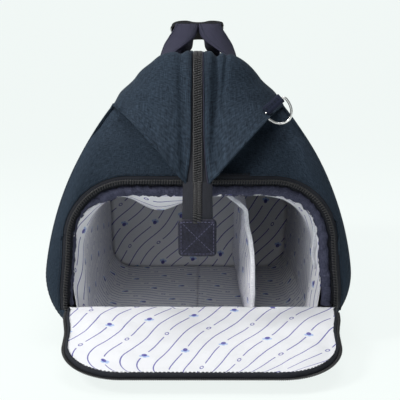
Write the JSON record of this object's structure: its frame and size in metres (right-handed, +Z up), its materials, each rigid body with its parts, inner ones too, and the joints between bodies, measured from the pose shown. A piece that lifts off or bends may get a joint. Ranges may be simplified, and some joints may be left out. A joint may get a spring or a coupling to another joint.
{
  "type": "weekender bag with shoe compartment",
  "caption": "Soft travel bag with a folded-over end, a padded zip-round door to a lined shoe compartment, wrapped webbing handles and shoulder rings.",
  "frame": {"origin": "middle of the flat bottom, on the floor the bag stands on", "axes": "+Z up; Y along the bag's length, with the shoe compartment's door at -Y; +X to the right seen from the door end"},
  "size_m": [0.32, 0.6811, 0.3367],
  "materials": {
    "shell_fabric": "tightly woven dark teal-navy melange, matt",
    "stiffener": "plain board sewn in under the lining",
    "foam": "soft padding",
    "zip_tape": "ribbed woven tape, matt",
    "zip_coil": "dark coil, satin",
    "binding": "gathered slate-navy binding",
    "lining_print": "white woven lining with thin indigo wavy lines, dots and drops",
    "webbing": "flat woven webbing, matt",
    "tab_leather": "pebbled navy leather, stitched",
    "wrap_leather": "smooth black leather",
    "nickel": "polished nickel"
  },
  "bodies": {
    "bag": {"base_board": "stiffener", "base_panel": "shell_fabric", "door_slider": "nickel", "far_end_lining": "lining_print", "far_end_panel": "shell_fabric", "far_ring_tab": "webbing", "left_side_panel": "shell_fabric", "main_lining": "lining_print", "mouth_binding": "binding", "near_ring_tab": "webbing", "opening_tape": "zip_tape", "opening_teeth": "zip_coil", "pocket_divider": "lining_print", "pocket_lining": "lining_print", "right_side_panel": "shell_fabric", "shoe_end_panel": "shell_fabric", "top_tape_left": "zip_tape", "top_tape_right": "zip_tape", "top_teeth": "zip_coil"},
    "door": {"door_shell": "shell_fabric", "door_foam": "foam", "door_lining": "lining_print", "door_binding": "zip_tape", "door_teeth": "zip_coil"},
    "near_tail": {"near_tail_tape": "zip_tape", "near_tail_tab": "tab_leather"},
    "far_tail": {"far_tail_tape": "zip_tape", "far_tail_tab": "tab_leather"},
    "handles": {"left_handle": "webbing", "right_handle": "webbing", "handle_wrap": "wrap_leather"},
    "flap": {"wrap_flap": "wrap_leather", "wrap_snap": "nickel"},
    "near_zip_slider": {"near_slider": "nickel"},
    "far_zip_slider": {"far_slider": "nickel"},
    "near_zip_puller": {"near_puller": "nickel"},
    "far_zip_puller": {"far_puller": "nickel"},
    "door_zip_puller": {"door_puller": "nickel"},
    "near_ring": {"near_d_ring": "nickel"},
    "far_ring": {"far_d_ring": "nickel"}
  },
  "joints": [
    {"name": "door_close", "type": "hinge", "parent": "bag", "child": "door", "pos_m": [0, -0.244, 0.038], "axis": [-1, 0, 0], "range_deg": [0, 105.9], "deforming": ["near_tail_tape", "near_tail_tab"]},
    {"name": "near_tail_lift", "type": "hinge", "parent": "bag", "child": "near_tail", "pos_m": [0, -0.2626, 0.1768], "axis": [-1, 0, 0], "range_deg": [-25, 75]},
    {"name": "far_tail_lift", "type": "hinge", "parent": "bag", "child": "far_tail", "pos_m": [0, 0.2626, 0.1768], "axis": [1, 0, 0], "range_deg": [-25, 75]},
    {"name": "handle_sway", "type": "hinge", "parent": "bag", "child": "handles", "pos_m": [0, 0, 0.22], "axis": [0, 1, 0], "range_deg": [-10, 10], "deforming": ["left_handle", "right_handle"]},
    {"name": "flap_open", "type": "hinge", "parent": "handles", "child": "flap", "pos_m": [0.0296, 0, 0.3339], "axis": [0, 1, 0], "range_deg": [0, 130]},
    {"name": "near_slider_run", "type": "slide", "parent": "bag", "child": "near_zip_slider", "axis": [0, -1, 0], "range_m": [0, 0.16]},
    {"name": "far_slider_run", "type": "slide", "parent": "bag", "child": "far_zip_slider", "axis": [0, 1, 0], "range_m": [0, 0.012]},
    {"name": "near_puller_swing", "type": "hinge", "parent": "near_zip_slider", "child": "near_zip_puller", "pos_m": [0, 0.0605, 0.2995], "axis": [1, 0, 0], "range_deg": [0, 150]},
    {"name": "far_puller_swing", "type": "hinge", "parent": "far_zip_slider", "child": "far_zip_puller", "pos_m": [0, 0.1175, 0.2995], "axis": [-1, 0, 0], "range_deg": [0, 150]},
    {"name": "door_puller_swing", "type": "hinge", "parent": "bag", "child": "door_zip_puller", "pos_m": [-0.1333, -0.2472, 0.029], "axis": [-1, 0, 0], "range_deg": [0, 60]},
    {"name": "near_ring_swing", "type": "hinge", "parent": "bag", "child": "near_ring", "pos_m": [0.081, -0.214, 0.247], "axis": [-0.7431, 0, -0.6691], "range_deg": [-12, 80]},
    {"name": "far_ring_swing", "type": "hinge", "parent": "bag", "child": "far_ring", "pos_m": [0.081, 0.214, 0.247], "axis": [0.7431, 0, 0.6691], "range_deg": [-12, 80]}
  ]
}
